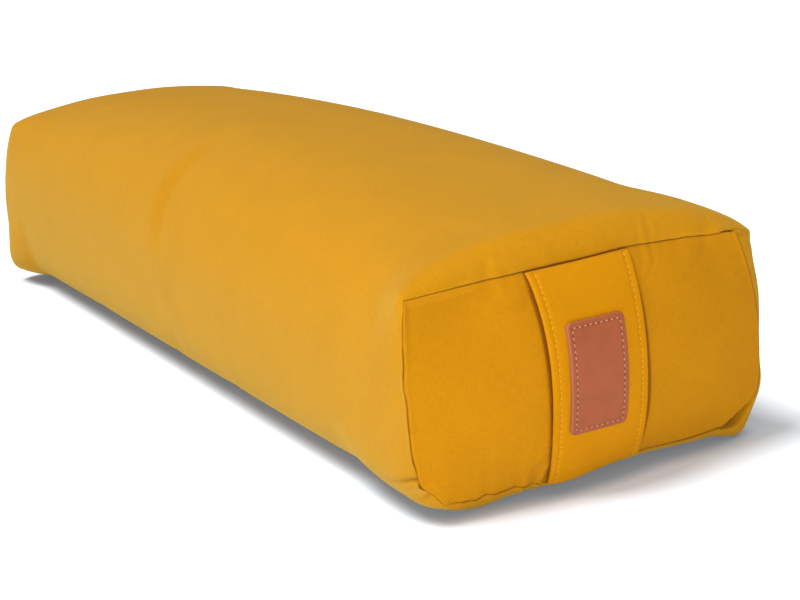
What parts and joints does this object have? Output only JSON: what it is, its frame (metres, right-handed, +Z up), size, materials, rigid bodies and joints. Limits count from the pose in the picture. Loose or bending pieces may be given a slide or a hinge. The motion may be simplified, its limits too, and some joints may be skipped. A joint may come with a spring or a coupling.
{
  "type": "yoga bolster",
  "caption": "Long rectangular yoga bolster: a firmly filled cotton cushion with a crowned top and boxed ends, with a carrying strap and leather patch across one end.",
  "frame": {"origin": "centre of the flat underside, where the bolster rests on the floor", "axes": "+X along the length towards the end with the strap, +Y across the width, +Z up"},
  "size_m": [0.68, 0.218, 0.1522],
  "materials": {
    "cover_cotton": "fine mustard cotton twill, matt with a faint sheen",
    "strap_cotton": "folded mustard cotton band, a little brighter than the cover, edges stitched in yellow thread",
    "patch_leather": "fine-grained tan leather, satin, stitched round its edge in cream thread"
  },
  "bodies": {
    "root": {"filled_body": "cover_cotton", "end_panel_handle": "cover_cotton", "end_panel_plain": "cover_cotton", "handle_strap": "strap_cotton", "leather_patch": "patch_leather"}
  },
  "joints": []
}
